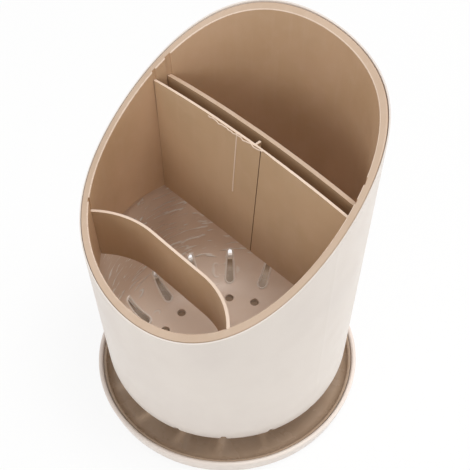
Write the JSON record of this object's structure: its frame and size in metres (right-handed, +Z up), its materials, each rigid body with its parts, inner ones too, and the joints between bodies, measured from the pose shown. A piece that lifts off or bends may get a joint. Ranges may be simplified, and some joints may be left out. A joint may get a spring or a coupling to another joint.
{
  "type": "utensil holder",
  "caption": "Round utensil holder with a slanting mouth: drained pot, hanging organizer ring with slide-in dividers and knife slot, and a lined drip tray.",
  "frame": {"origin": "centre of the drip tray's underside", "axes": "+Z up, +Y towards the high side of the mouth, the knife walls run along X"},
  "size_m": [0.147, 0.147, 0.1973],
  "materials": {
    "off_white_plastic": "fine satin moulded",
    "tan_plastic": "satin moulded"
  },
  "bodies": {
    "tray": {"drip_tray": "off_white_plastic", "tray_liner": "tan_plastic"},
    "pot": {"outer_pot": "off_white_plastic"},
    "organizer": {"organizer_ring": "tan_plastic"},
    "front_wall": {"knife_front_wall": "tan_plastic"},
    "rear_wall": {"knife_rear_wall": "tan_plastic"},
    "divider": {"wave_divider": "tan_plastic"}
  },
  "joints": [
    {"name": "pot_lift", "type": "slide", "parent": "tray", "child": "pot", "axis": [0, 0, 1], "range_m": [0, 0.04]},
    {"name": "organizer_lift", "type": "slide", "parent": "pot", "child": "organizer", "axis": [0, 0, 1], "range_m": [0, 0.12]},
    {"name": "front_wall_lift", "type": "slide", "parent": "organizer", "child": "front_wall", "axis": [0, 0, 1], "range_m": [0, 0.12]},
    {"name": "rear_wall_lift", "type": "slide", "parent": "organizer", "child": "rear_wall", "axis": [0, 0, 1], "range_m": [0, 0.12]},
    {"name": "divider_lift", "type": "slide", "parent": "organizer", "child": "divider", "axis": [0, 0, 1], "range_m": [0, 0.12]}
  ]
}
